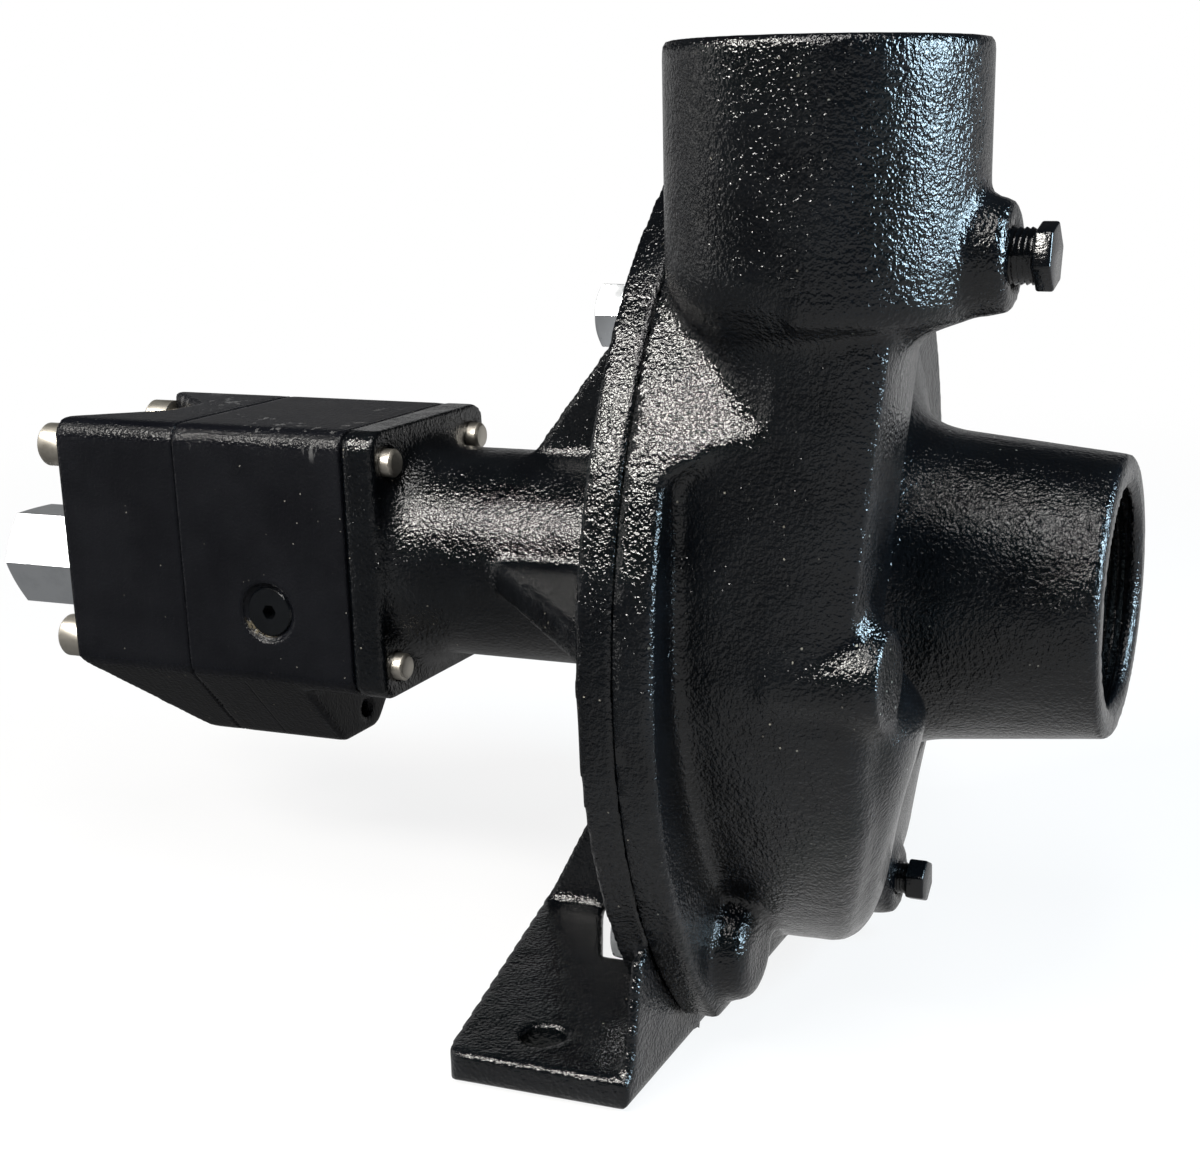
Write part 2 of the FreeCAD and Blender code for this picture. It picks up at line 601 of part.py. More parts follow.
for name, x0, x1 in (("rear_bushings", seam_x - bush_l + 0.1, seam_x - 0.02), ("front_bushings", plate_x + 0.02, plate_x + 14.4)):
    pair = [ring(x0, x1, journal + run, bush_r - 0.02, 0, z) for z in (0, -gear_c)]
    export(name, Part.makeCompound(pair))
for name, x0 in (("rear_thrust_plate", seam_x + 0.03), ("front_thrust_plate", plate_x - 2.03)):
    p = twin(x0, x0 + 2.0, gear_tip).removeSplitter()
    p = cut(p, [twin(x0 - 1, x0 + 4, journal + 0.25), box(x0 - 1, x0 + 4, 10, 30, -17.5, -12.5), box(x0 - 1, x0 + 4, -30, -10, -17.5, -12.5)])
    export(name, p)
lip_x = flange_x0 - 14.48
lip = turned([(lip_x, journal + 1.3), (lip_x, 13.98), (lip_x + 8, 13.98), (lip_x + 8, 12.6), (lip_x + 2, 12.2), (lip_x + 2, 10.6),
              (lip_x + 6.5, 9.4), (lip_x + 6.5, journal + 0.03), (lip_x + 5, journal + 0.03)])
export("shaft_lip_seal", lip)
outer, inner, balls, cage = make_bearing()
export("bearing_outer_race", outer)
export("bearing_inner_race", inner)
export("bearing_balls", balls)
export("bearing_cage", cage)
snap = ring(-109.15, -107.35, 22.8, 27.35).cut(box(-111, -105, -3.5, 3.5, 0, 40))
export("retaining_ring", snap)
export("rear_body_seal", body_seal_ring(seam_x, -1, 0).common(box(seam_x - 1.88, seam_x - 0.02, -60, 60, -90, 60)))
export("front_body_seal", body_seal_ring(plate_x, 1, 0).common(box(plate_x + 0.02, plate_x + 1.88, -60, 60, -90, 60)))
export("motor_screws", make_screws())


def sidewise(profile):
    """Turned piece on the side port's axis, from (depth from the near face, radius) points."""
    s = turned(profile)
    s.rotate(V(0, 0, 0), V(0, 0, 1), 90)
    s.translate(V(side_x, -half_y, side_z))
    return s


corners = [math.radians(60 * i) for i in range(6)]
key_hole = sideways([(side_x + 2.3 * math.cos(a), side_z + 2.3 * math.sin(a)) for a in corners], -half_y - 2, -half_y + 4)
side = sidewise([(1.0, 0), (1.0, 6.9), (1.5, 7.4), (1.64, 7.4), (1.64, 6.56), (3.6, 6.5), (3.6, 5.4), (5.2, 5.4), (5.2, 6.5), (13, 6.5), (13, 0)])
export("side_plug", side.cut(key_hole))
export("side_plug_seal", sidewise([(3.64, 5.44), (3.64, 6.52), (5.16, 6.52), (5.16, 5.44)]))

bx = port_boss_x
neck = [(bx - 7.5, 0), (bx - 7.5, 14), (bx - 0.05, 14), (bx - 0.05, 10.2), (bx + 2.3, 10.2), (bx + 2.3, 10.4), (port_floor_x - 0.6, 10.4),
        (port_floor_x - 0.1, 9.9), (port_floor_x - 0.1, 0)]
body = fuse([hex_head(hex_af, hex_x0, bx - 2.4, 0, port_z, 0), turned(neck, 0, port_z)])
clip_x = hex_x0 + 16.3
bore = turned([(hex_x0 - 1, 0), (hex_x0 - 1, 10.2), (hex_x0 + 1.4, 9.3), (clip_x - 1.8, 9.3), (clip_x - 1.8, 8.5), (clip_x, 8.5), (clip_x, 9.0),
               (clip_x + 1.4, 9.0), (clip_x + 1.4, 8.5), (bx - 4, 8.5), (bx - 1.4, 6), (port_floor_x, 6), (port_floor_x, 0)], 0, port_z)
export("port_adapter", body.cut(bore))
export("adapter_seal", turned([(bx, 10.25), (bx, 12.3), (bx + 2.1, 11.75), (bx + 2.1, 10.25)], 0, port_z))
poppet = turned([(bx - 21, 0), (bx - 21, 2.6), (bx - 20.6, 3), (bx - 9, 3), (bx - 9, 7.9), (bx - 4.3, 7.9), (bx - 1.7, 5.2), (bx - 0.4, 0)], 0, port_z)
export("check_poppet", poppet)
coil = spring(clip_x + 1.45, bx - 9.05, 6.1, 0.7, 5)
coil.translate(V(0, 0, port_z))
export("check_spring", coil)
export("check_retainer", ring(clip_x + 0.05, clip_x + 1.35, 4.4, 8.95, 0, port_z))
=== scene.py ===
# %% [markdown]
# # A hydraulic-driven centrifugal pump
# The real object is a black cast-iron pump. A footed bracket carries the bearing, a volute
# casing is bolted to its front, and a small gear motor is screwed to its back.
# The engineering model is the skeleton of this scene: it gives every place and every size.
# Blender adds what an engineer leaves out, which is paint, casting skin, threads and light.

# %% Load the engineering model
import json
import math
import bmesh
import bpy
import numpy as np
from mathutils import Matrix, Vector


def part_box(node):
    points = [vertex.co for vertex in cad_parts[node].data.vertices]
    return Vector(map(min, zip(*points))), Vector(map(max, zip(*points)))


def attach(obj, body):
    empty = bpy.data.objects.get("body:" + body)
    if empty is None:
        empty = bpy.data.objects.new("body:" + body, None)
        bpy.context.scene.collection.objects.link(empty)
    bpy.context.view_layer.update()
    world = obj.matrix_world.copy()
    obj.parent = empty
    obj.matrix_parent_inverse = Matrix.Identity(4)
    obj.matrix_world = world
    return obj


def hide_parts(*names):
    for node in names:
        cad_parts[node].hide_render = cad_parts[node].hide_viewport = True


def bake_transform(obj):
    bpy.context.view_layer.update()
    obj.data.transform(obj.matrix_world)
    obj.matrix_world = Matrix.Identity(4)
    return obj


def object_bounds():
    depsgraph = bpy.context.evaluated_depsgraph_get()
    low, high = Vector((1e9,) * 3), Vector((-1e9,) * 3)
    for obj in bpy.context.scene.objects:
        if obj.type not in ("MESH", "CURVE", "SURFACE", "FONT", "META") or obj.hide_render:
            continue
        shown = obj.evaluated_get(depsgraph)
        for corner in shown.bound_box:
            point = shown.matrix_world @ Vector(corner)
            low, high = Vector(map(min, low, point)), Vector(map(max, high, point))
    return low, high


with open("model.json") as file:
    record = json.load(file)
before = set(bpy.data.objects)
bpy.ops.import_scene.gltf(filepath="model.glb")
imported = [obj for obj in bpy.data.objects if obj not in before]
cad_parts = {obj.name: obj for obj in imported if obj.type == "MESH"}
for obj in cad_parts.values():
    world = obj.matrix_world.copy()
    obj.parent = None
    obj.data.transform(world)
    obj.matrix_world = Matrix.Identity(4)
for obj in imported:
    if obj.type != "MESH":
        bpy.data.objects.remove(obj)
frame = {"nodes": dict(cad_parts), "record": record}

cad_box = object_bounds()
nodes = frame["nodes"]
scene = bpy.context.scene
print(len(nodes), "CAD nodes, box", [round(v, 4) for v in (*cad_box[0], *cad_box[1])])

# %% [markdown]
# ## A frame of reference
# The part's origin lies on the floor, midway between the foot holes. The shaft is the better
# ruler for us, because the casing, the ports and the motor are all placed about it, so a
# helper turns millimetres about the shaft into metres in the scene.

# %% Millimetres about the shaft
MM = 0.001
SHAFT = Vector((0.0294, 0.0, 0.1048))


def about_shaft(x, y, z):
    """A point in millimetres about the shaft, as metres in the scene."""
    return SHAFT + Vector((x, y, z)) * MM


print("shaft stands", SHAFT.z, "m above the floor")

# %% [markdown]
# ## The camera
# The photograph was taken from the suction side, a little above the shaft and rather near,
# so the perspective is strong. The camera was found by matching edges, such as the flange's
# rim and the foot's corners, with their known places. A shift stands for the crop of the
# picture: the lens axis isn't in the middle of it.

# %% Camera
YAW, PITCH, ROLL = 21.67, 17.33, -0.75
FOCAL_PX, PICTURE_W, PICTURE_H = 1958.83, 1200, 1169
CENTRE_PX = (677.98, 732.06)

yaw, pitch, roll = (math.radians(a) for a in (YAW, PITCH, ROLL))
forward = Vector((-math.sin(yaw) * math.cos(pitch), math.cos(yaw) * math.cos(pitch), -math.sin(pitch)))
level = Vector((math.cos(yaw), math.sin(yaw), 0.0))
upright = level.cross(forward)
right = level * math.cos(roll) + upright * math.sin(roll)
up = upright * math.cos(roll) - level * math.sin(roll)

camera = bpy.data.objects.new("camera", bpy.data.cameras.new("camera"))
camera.data.sensor_width = 36.0
camera.data.lens = FOCAL_PX / PICTURE_W * camera.data.sensor_width
camera.data.shift_x = 0.5 - CENTRE_PX[0] / PICTURE_W
camera.data.shift_y = (CENTRE_PX[1] - PICTURE_H / 2) / PICTURE_W
camera.data.clip_start = 0.02
place = Matrix((right, up, -forward)).transposed().to_4x4()
place.translation = about_shaft(166.42, -509.01, 121.06)
camera.matrix_world = place
scene.collection.objects.link(camera)
scene.camera = camera
print("lens", round(camera.data.lens, 2), "mm, shift", round(camera.data.shift_x, 3), round(camera.data.shift_y, 3))

# %% [markdown]
# ## Shader sums that read like sums
# A procedural finish is a small formula: grain here, dust there, less of one where the other
# is. Wiring it by hand hides the formula, so this class wraps a socket and lets Python's own
# operators add the Math nodes. Every other node comes from one method of the workshop.

# %% Helpers for materials


class Value:
    """A number that varies over the surface, as one socket of a node tree."""

    def __init__(self, shop, socket):
        self.shop = shop
        self.socket = socket

    def sum(self, operation, *others):
        return self.shop.add("ShaderNodeMath", {"operation": operation}, dict(enumerate(others)))

    def __add__(self, other):
        return self.sum("ADD", self, other)

    def __sub__(self, other):
        return self.sum("SUBTRACT", self, other)

    def __rsub__(self, other):
        return self.sum("SUBTRACT", other, self)

    def __mul__(self, other):
        return self.sum("MULTIPLY", self, other)

    __radd__ = __add__
    __rmul__ = __mul__

    def above(self, edge, soft):
        """0 below the edge and 1 above it, over a soft step."""
        return self.shop.add("ShaderNodeMapRange", {"interpolation_type": "SMOOTHSTEP"},
                             {"Value": self, "From Min": edge, "From Max": edge + soft})

    def below(self, edge, soft):
        return 1 - self.above(edge, soft)

    def beside(self, name):
        """Another output of the node that this one comes from."""
        return Value(self.shop, self.socket.node.outputs[name])


class Workshop:
    """The node tree of one material, or of the world, with its object coordinates."""

    def __init__(self, name, owner=None):
        self.owner = owner or bpy.data.materials.new(name)
        self.owner.use_nodes = True
        self.tree = self.owner.node_tree
        self.place = self.add("ShaderNodeTexCoord", {}, {}, "Object")

    def add(self, kind, settings, inputs, output=0):
        """Any node: its settings are set first, then the values or links of its sockets."""
        node = self.tree.nodes.new(kind)
        for key, value in settings.items():
            setattr(node, key, value)
        for key, value in inputs.items():
            self.join(node.inputs[key], value)
        return Value(self, node.outputs[output])

    def join(self, socket, value):
        if isinstance(value, Value):
            self.tree.links.new(value.socket, socket)
        elif isinstance(value, tuple) and len(value) == 3 and socket.type == "RGBA":
            socket.default_value = (*value, 1.0)
        else:
            socket.default_value = value

    def noise(self, scale, detail=2.0, rough=0.5, place=None):
        return self.add("ShaderNodeTexNoise", {}, {"Vector": place or self.place, "Scale": scale, "Detail": detail,
                                                   "Roughness": rough})

    def cells(self, scale, output="Distance", place=None):
        return self.add("ShaderNodeTexVoronoi", {}, {"Vector": place or self.place, "Scale": scale}, output)

    def stretch(self, scale):
        """Object coordinates with another scale along each axis."""
        return self.add("ShaderNodeMapping", {}, {"Vector": self.place, "Scale": scale})

    def mix(self, factor, first, second):
        """One colour over another by a mask."""
        return self.add("ShaderNodeMix", {"data_type": "RGBA"}, {0: factor, 6: first, 7: second}, 2)

    def bump(self, height, depth, normal=None):
        """Relief of so many metres between the height's 0 and 1."""
        links = {"Height": height, "Distance": depth, "Strength": 1.0}
        if normal:
            links["Normal"] = normal
        return self.add("ShaderNodeBump", {}, links, "Normal")

    def finish(self, **values):
        """Set the inputs of the surface shader and hand the material over."""
        shader = self.tree.nodes["Principled BSDF"]
        for key, value in values.items():
            self.join(shader.inputs[key.replace("_", " ")], value)
        return self.owner


print("workshop ready")

# %% [markdown]
# ## Floor and background
# The background is white, and the pump is black and glossy. White comes from the world and
# the floor as the camera and the reflections see them, not from more light on the object.
# A reflection sees a floor that is darker under the motor than under the casing, and a pale
# band low behind the pump, as the photograph's faces show them.

# %% Floor and background
FLOOR_HALF = 4.0
FLOOR_LEFT, FLOOR_RIGHT = 0.20, 0.62
CORNERS = ((-1, -1), (1, -1), (1, 1), (-1, 1))
floor_mesh = bpy.data.meshes.new("floor")
floor_mesh.from_pydata([(x * FLOOR_HALF, y * FLOOR_HALF, 0) for x, y in CORNERS], [], [(0, 1, 2, 3)])
floor = bpy.data.objects.new("floor", floor_mesh)
scene.collection.objects.link(floor)

pale = Workshop("pale_floor")
straight = pale.add("ShaderNodeLightPath", {}, {}, "Is Camera Ray")
glossy = straight.beside("Is Glossy Ray")
along = pale.add("ShaderNodeSeparateXYZ", {}, {0: pale.place})
mirrored = FLOOR_LEFT + along.above(-0.14, 0.20) * (FLOOR_RIGHT - FLOOR_LEFT)
glow = pale.add("ShaderNodeEmission", {}, {"Color": (1.0, 1.0, 1.0), "Strength": straight + glossy * mirrored})
matt = pale.add("ShaderNodeBsdfDiffuse", {}, {"Color": (0.5, 0.5, 0.5)})
reach = pale.add("ShaderNodeVectorMath", {"operation": "LENGTH"}, {0: pale.place}, 1)
share = straight * (0.86 + reach.above(0.25, 0.9) * 0.14) + glossy
both = pale.add("ShaderNodeMixShader", {}, {0: share, 1: matt, 2: glow})
pale.join(pale.tree.nodes["Material Output"].inputs["Surface"], both)
pale.tree.nodes.remove(pale.tree.nodes["Principled BSDF"])
floor_mesh.materials.append(pale.owner)

scene.world = bpy.data.worlds.new("studio")
studio = Workshop("studio", scene.world)
straight = studio.add("ShaderNodeLightPath", {}, {}, "Is Camera Ray")
glossy = straight.beside("Is Glossy Ray")
toward = studio.add("ShaderNodeSeparateXYZ", {}, {0: studio.place.beside("Generated")})
band = toward.beside("Y").above(-0.2, 0.8) * toward.beside("Z").below(0.08, 0.22) * 0.42 + 0.03
room = studio.add("ShaderNodeBackground", {}, {"Color": (0.86, 0.93, 1.0), "Strength": 0.25})
white = studio.add("ShaderNodeBackground", {}, {"Color": (1.0, 1.0, 1.0), "Strength": straight + glossy * band})
both = studio.add("ShaderNodeMixShader", {}, {0: straight + glossy, 1: room, 2: white})
studio.join(studio.tree.nodes["World Output"].inputs["Surface"], both)
scene.view_settings.view_transform = "Standard"
print("floor reflects", FLOOR_LEFT, "on the left and", FLOOR_RIGHT, "on the right")

# %% [markdown]
# ## Light
# Gloss paint shows a lamp's shape wherever the surface turns towards it. A long warm bar high
# on the left draws the bright streak along the barrel and the sparkle on the corner pad. A
# cool panel on the right makes the bluish sheen on the discharge, and a strip above the
# suction and a weak light on the left lift what would be plain black.

# %% Lamps
TARGET = about_shaft(-20, -20, 10)


def lamp(name, toward, distance, size, watts, colour):
    """A rectangular lamp that looks at the pump from the given direction."""
    data = bpy.data.lights.new(name, "AREA")
    data.shape = "RECTANGLE"
    data.size, data.size_y = size
    data.energy = watts
    data.color = colour
    made = bpy.data.objects.new(name, data)
    away = Vector(toward).normalized()
    made.location = TARGET + away * distance
    made.rotation_euler = away.to_track_quat("Z", "Y").to_euler()
    scene.collection.objects.link(made)


lamp("key_warm", (-0.38, -0.64, 0.66), 1.3, (0.90, 0.20), 36.0, (1.0, 0.97, 0.92))
lamp("panel_cool", (0.93, 0.04, 0.37), 1.1, (0.36, 0.70), 38.0, (0.62, 0.84, 1.0))
lamp("strip_top", (0.14, -0.42, 0.90), 1.3, (0.30, 0.90), 12.0, (1.0, 0.98, 0.96))
lamp("left_fill", (-0.95, -0.25, 0.20), 1.4, (0.40, 0.80), 2.0, (1.0, 0.98, 0.95))
print(len(bpy.data.lights), "lamps")

# %% [markdown]
# ## Gloss black paint on rough castings
# The casing and the bracket are sand castings under one coat of black enamel. The sand leaves
# a skin of rounded grains about 1 mm wide, and the wet paint fills the valleys between them,
# so every grain throws its own small highlight. Noise of two sizes gives the grains, and a
# slow noise gives the shallow waves of the mould. Dust has settled here and there.

# %% Cast paint


def specks(shop, scale, size, share):
    """Grains of dust: small cells, of which a share is kept, more of them where a slow noise is high."""
    bent = shop.add("ShaderNodeVectorMath", {"operation": "MULTIPLY_ADD"},
                    {0: shop.noise(scale * 2.0), 1: (0.0006,) * 3, 2: shop.place})
    grain = shop.cells(scale, place=bent).below(size * 0.5, size)
    picked = shop.add("ShaderNodeSeparateColor", {}, {0: shop.cells(scale, output="Color", place=bent)})
    crowd = shop.noise(18, 3.0).above(0.35, 0.35)
    return grain * (picked + crowd * share).above(1.0, 0.02)


def cast_paint(name, grain_mm, depth_mm, dust=0.5):
    """Black enamel over sand grains of a width and a depth."""
    shop = Workshop(name)
    fine = shop.noise(1000 / grain_mm, 1.5, 0.5)
    tiny = shop.noise(2300 / grain_mm, 1.0, 0.4)
    slow = shop.noise(70, 2.0)
    relief = fine * 0.75 + tiny * 0.25
    waves = shop.bump(slow, 0.9 * MM)
    skin = shop.bump(relief, depth_mm * MM, waves)
    dusty = specks(shop, 520, 0.13, 0.07) * dust
    colour = shop.mix(slow.above(0.35, 0.4), (0.0008, 0.0011, 0.0016), (0.0018, 0.0023, 0.0030))
    colour = shop.mix(dusty, colour, (0.30, 0.28, 0.23))
    rough = 0.10 + slow * 0.10 + dusty * 0.4
    return shop.finish(Base_Color=colour, Roughness=rough, Specular_IOR_Level=0.40, Normal=skin)


cast_black = cast_paint("cast_black_paint", 1.0, 0.5)
plug_black = cast_paint("plug_black_paint", 0.7, 0.12, 0.2)
print("cast paint with", len(cast_black.node_tree.nodes), "nodes")

# %% [markdown]
# ## Satin paint on the motor
# The motor's covers are milled flat on their sides, and the paint there is thinner and more
# satin. Faint cutter lines run up the near face, dust lies on it as pale specks, grey scuffs
# show where it was handled, and soil has gathered in the ring round the side plug.

# %% Motor paint


SIDE_PLUG = about_shaft(-152, -34.5, -15.5)
EDGE_HEIGHT, BELLY_HEIGHT, SEAM_X = 0.134, 0.0668, -0.1332


def motor_paint():
    """Satin paint with cutter lines on the flats, scuffs on the top edges and soil round the side plug."""
    shop = Workshop("motor_black_paint")
    rounding = shop.add("ShaderNodeAttribute", {"attribute_name": "rounding"}, {}, "Fac")
    fine = shop.noise(1100, 2.0, 0.5)
    slow = shop.noise(45, 3.0, 0.55)
    lines = shop.noise(1.0, 3.0, 0.6, shop.stretch((700.0, 300.0, 90.0)))
    milled = shop.bump(lines * (1 - rounding), 0.16 * MM)
    skin = shop.bump(fine * (0.40 + rounding * 0.60), 0.40 * MM, milled)
    dusty = specks(shop, 560, 0.12, 0.10)
    spot = shop.add("ShaderNodeSeparateXYZ", {}, {0: shop.place})
    ahead, height = spot.beside("X"), spot.beside("Z")
    scuff = shop.noise(1.0, 4.0, 0.7, shop.stretch((300.0, 220.0, 50.0))).above(0.58, 0.05)
    scuff = scuff * slow.above(0.52, 0.06) * height.above(EDGE_HEIGHT, 0.004)
    away = shop.add("ShaderNodeVectorMath", {"operation": "DISTANCE"}, {0: shop.place, 1: SIDE_PLUG}, 1)
    ring = away.above(0.0056, 0.0006) * away.below(0.0072, 0.0006)
    soil = ring * height.below(SIDE_PLUG.z - 0.004, 0.003) * fine.above(0.4, 0.15)
    seam = ahead.above(SEAM_X, 0.0003) * ahead.below(SEAM_X + 0.0006, 0.0003) * height.below(BELLY_HEIGHT, 0.001)
    skin = shop.bump(1 - seam, 0.5 * MM, skin)
    colour = shop.mix(slow.above(0.3, 0.4), (0.0014, 0.0016, 0.0026), (0.0028, 0.0031, 0.0044))
    colour = shop.mix(scuff * 0.5, colour, (0.10, 0.10, 0.10))
    colour = shop.mix(soil * 0.45, colour, (0.13, 0.11, 0.07))
    colour = shop.mix(dusty * 0.5, colour, (0.24, 0.23, 0.20))
    rough = 0.30 - rounding * 0.14 + slow * 0.10 + lines * 0.08 + dusty * 0.4
    return shop.finish(Base_Color=colour, Roughness=rough, Specular_IOR_Level=0.18, Normal=skin)


motor_black = motor_paint()
print("motor paint with", len(motor_black.node_tree.nodes), "nodes")

# %% [markdown]
# ## Metals
# Plated, ground and turned metals differ less in colour than in the marks left on them. One
# recipe covers them: a colour, a roughness, scratches along a direction and cloudy stains.

# %% Metal finishes


def metal(name, colour, dull, rough, lines=(40.0, 900.0, 900.0), line_mm=0.012, cloud=0.3, stain=0.25):
    """Bare or plated metal; lines gives the scratches' density along X, Y and Z."""
    shop = Workshop(name)
    clouds = shop.noise(120, 4.0, 0.6)
    marks = shop.noise(1.0, 3.0, 0.6, shop.stretch(lines))
    pits = shop.cells(900).below(0.10, 0.06) * shop.noise(60).above(0.5, 0.1)
    tint = shop.mix(clouds.above(0.42, 0.3) * stain, colour, dull)
    tint = shop.mix(pits * 0.6, tint, dull)
    relief = shop.bump(marks, line_mm * MM)
    rough = rough + clouds * cloud * 0.4 + marks * 0.08
    return shop.finish(Base_Color=tint, Metallic=1.0, Roughness=rough, Normal=relief)


EVEN, FINE, DRAWN = (300.0,) * 3, (600.0,) * 3, (120.0, 700.0, 700.0)
TURNED, GROUND = (2400.0, 40.0, 40.0), (2600.0, 30.0, 30.0)
zinc = metal("bright_zinc", (0.80, 0.83, 0.86), (0.42, 0.45, 0.48), 0.20, EVEN, 0.02, 0.35)
stainless = metal("dull_stainless", (0.56, 0.53, 0.47), (0.20, 0.18, 0.15), 0.30, DRAWN, 0.02, 0.4, 0.6)
ground_steel = metal("ground_steel", (0.62, 0.62, 0.63), (0.42, 0.42, 0.43), 0.20, GROUND)
gear_steel = metal("gear_steel", (0.44, 0.43, 0.42), (0.24, 0.23, 0.22), 0.30, (40.0, 800.0, 800.0))
spring_steel = metal("spring_wire", (0.55, 0.55, 0.56), (0.33, 0.33, 0.33), 0.26, FINE)
bare_iron = metal("bare_cast_iron", (0.17, 0.165, 0.16), (0.10, 0.095, 0.09), 0.46, (500.0,) * 3, 0.08, 0.5, 0.8)
bronze = metal("bearing_bronze", (0.60, 0.42, 0.20), (0.38, 0.25, 0.12), 0.30, (1800.0, 40.0, 40.0))
brass = metal("turned_brass", (0.72, 0.54, 0.24), (0.50, 0.36, 0.15), 0.24, TURNED)
print("eight metals, zinc with", len(zinc.node_tree.nodes), "nodes")

# %% [markdown]
# ## Rubber, carbon, ceramic and nylon
# The seals and the bearing's cage are small and inside, yet they show when the pump is taken
# apart. Each has the one trait that tells it from the others: bloom on rubber, sparkle in
# carbon, a faint mottle in ceramic, and moulding marks on nylon.

# %% Seal and cage finishes


def moulded(name, colour, second, rough, grain, depth_mm, share=0.5):
    """A moulded or pressed stuff: a clouded second colour and a fine grain."""
    shop = Workshop(name)
    cloud = shop.noise(150, 4.0, 0.6)
    fine = shop.noise(grain, 2.0)
    tint = shop.mix(cloud.above(0.40, 0.3) * share, colour, second)
    return shop.finish(Base_Color=tint, Roughness=rough + fine * 0.15, Normal=shop.bump(fine, depth_mm * MM))


rubber = moulded("nitrile_rubber", (0.012, 0.012, 0.013), (0.035, 0.035, 0.036), 0.55, 1800, 0.02)
carbon = moulded("carbon_face", (0.03, 0.03, 0.032), (0.07, 0.07, 0.075), 0.30, 2600, 0.01, 0.7)
ceramic = moulded("white_ceramic", (0.86, 0.84, 0.79), (0.80, 0.77, 0.71), 0.16, 900, 0.005, 0.6)
nylon = moulded("moulded_nylon", (0.50, 0.40, 0.22), (0.42, 0.32, 0.16), 0.42, 700, 0.02)
print("four moulded finishes")

# %% [markdown]
# ## Who wears what
# The record already says which finish each node has, so the dressing is one loop over it.
# A node whose shape is right stays as it is and only gets the better material.

# %% Dress the nodes
finishes = {
    "cast_black": cast_black, "motor_black": motor_black, "plug_black": plug_black, "zinc": zinc,
    "stainless": stainless, "ground_steel": ground_steel, "gear_steel": gear_steel, "spring_steel": spring_steel,
    "iron": bare_iron, "bronze": bronze, "brass": brass, "ceramic": ceramic, "carbon": carbon,
    "rubber": rubber, "cage": nylon,
}
slot_of = {row["node"]: row["material_slot"] for row in frame["record"]["subparts"]}
for name, node in nodes.items():
    if not node.material_slots:
        node.data.materials.append(None)
    for slot in node.material_slots:
        slot.material = finishes[slot_of[name]]
print(len(slot_of), "nodes dressed in", len(finishes), "finishes")

# %% [markdown]
# ## Tools for meshes
# The skins below are made with numpy, because they have some hundred thousand vertices. Their
# shapes are told in millimetres about the shaft, so two helpers read and write them that way.

# %% Tools for meshes
BOLTS = [(sy * 80.57, sz * 77.80) for sy in (-1, 1) for sz in (-1, 1)]
SCREWS = [(sy * 26.5, sz * 29.8) for sy in (-1, 1) for sz in (-1, 1)]
ALONG_X, ALONG_Y, ALONG_Z = (1, 0, 0), (0, 1, 0), (0, 0, 1)


def read(rows, key, width, kind=np.float64):
    """One property of all vertices, edges or loops, as an array with a row for each."""
    values = np.empty(len(rows) * width, dtype=kind)
    rows.foreach_get(key, values)
    return values.reshape(-1, width)


def read_points(piece):
    return read(piece.data.vertices, "co", 3)


def read_quads(piece):
    return read(piece.data.loops, "vertex_index", 1, np.int32).reshape(-1, 4)


def write_points(piece, points):
    piece.data.vertices.foreach_set("co", points.ravel())
    piece.data.update()


def read_about(piece):
    """All vertices in millimetres about the shaft."""
    return (read_points(piece) - np.array(SHAFT)) / MM


def write_about(piece, about):
    write_points(piece, about * MM + np.array(SHAFT))


def count_triangles(piece):
    return sum(len(p.vertices) - 2 for p in piece.data.polygons)


def new_object(name, shape):
    """An object made of a bmesh, which is freed."""
    mesh = bpy.data.meshes.new(name)
    shape.to_mesh(mesh)
    shape.free()
    made = bpy.data.objects.new(name, mesh)
    scene.collection.objects.link(made)
    return made


def merged_copy(name, *names, extra=None):
    """The meshes of some nodes in one, with their loose triangles joined, as a new object."""
    shape = bmesh.new()
    for node in names:
        shape.from_mesh(nodes[node].data)
    bmesh.ops.remove_doubles(shape, verts=shape.verts, dist=1e-6)
    if extra:
        extra(shape)
    return new_object(name, shape)


def apply_all(piece):
    """Turn the piece and its modifiers into a plain mesh."""
    bpy.context.view_layer.update()
    done = bpy.data.meshes.new_from_object(piece.evaluated_get(bpy.context.evaluated_depsgraph_get()))
    piece.modifiers.clear()
    piece.data = done
    return piece


def paint(piece, material, slot, *replaced):
    """Give a finished piece its material, and hide the nodes that it stands for. The slot is not used."""
    piece.data.materials.clear()
    piece.data.materials.append(material)
    if replaced:
        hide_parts(*replaced)


def wear(piece, material, slot, *replaced):
    """Paint a piece that stands still, as all of these do, and keep it with the frame."""
    paint(piece, material, slot, *replaced)
    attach(piece, "frame")
    return piece


def join_rings(shape, rings):
    """A closed solid from rings of as many points each, given as places in the scene."""
    rings = [[shape.verts.new(p) for p in ring] for ring in rings]
    shape.faces.new(rings[0][::-1])
    shape.faces.new(rings[-1])
    for one, two in zip(rings, rings[1:]):
        for k in range(len(one)):
            shape.faces.new((one[k - 1], one[k], two[k], two[k - 1]))


def smooth_step(values, start, end):
    t = np.clip((values - start) / (end - start), 0.0, 1.0)
    return t * t * (3 - 2 * t)


print(len(BOLTS), "bolts and", len(SCREWS), "screws stand about the shaft")

# %% [markdown]
# ## The casting skin
# A sand casting has no sharp inside corner: every rib, boss and flange flows into its
# neighbour through a fillet of several millimetres, while its outside edges stay rather
# crisp. The solids meet in sharp lines. So a merged copy is remeshed into small squares, and
# then each vertex drifts towards the middle of its neighbours. Where that drift points out
# of the metal the corner is hollow and fills quickly, and elsewhere the drift is slight.
# Bores that hold a bolt, a thread or a bearing are sleeves that stay as they are. A few steps
# forth and back come first: they take out the squares' own steps and keep the size.

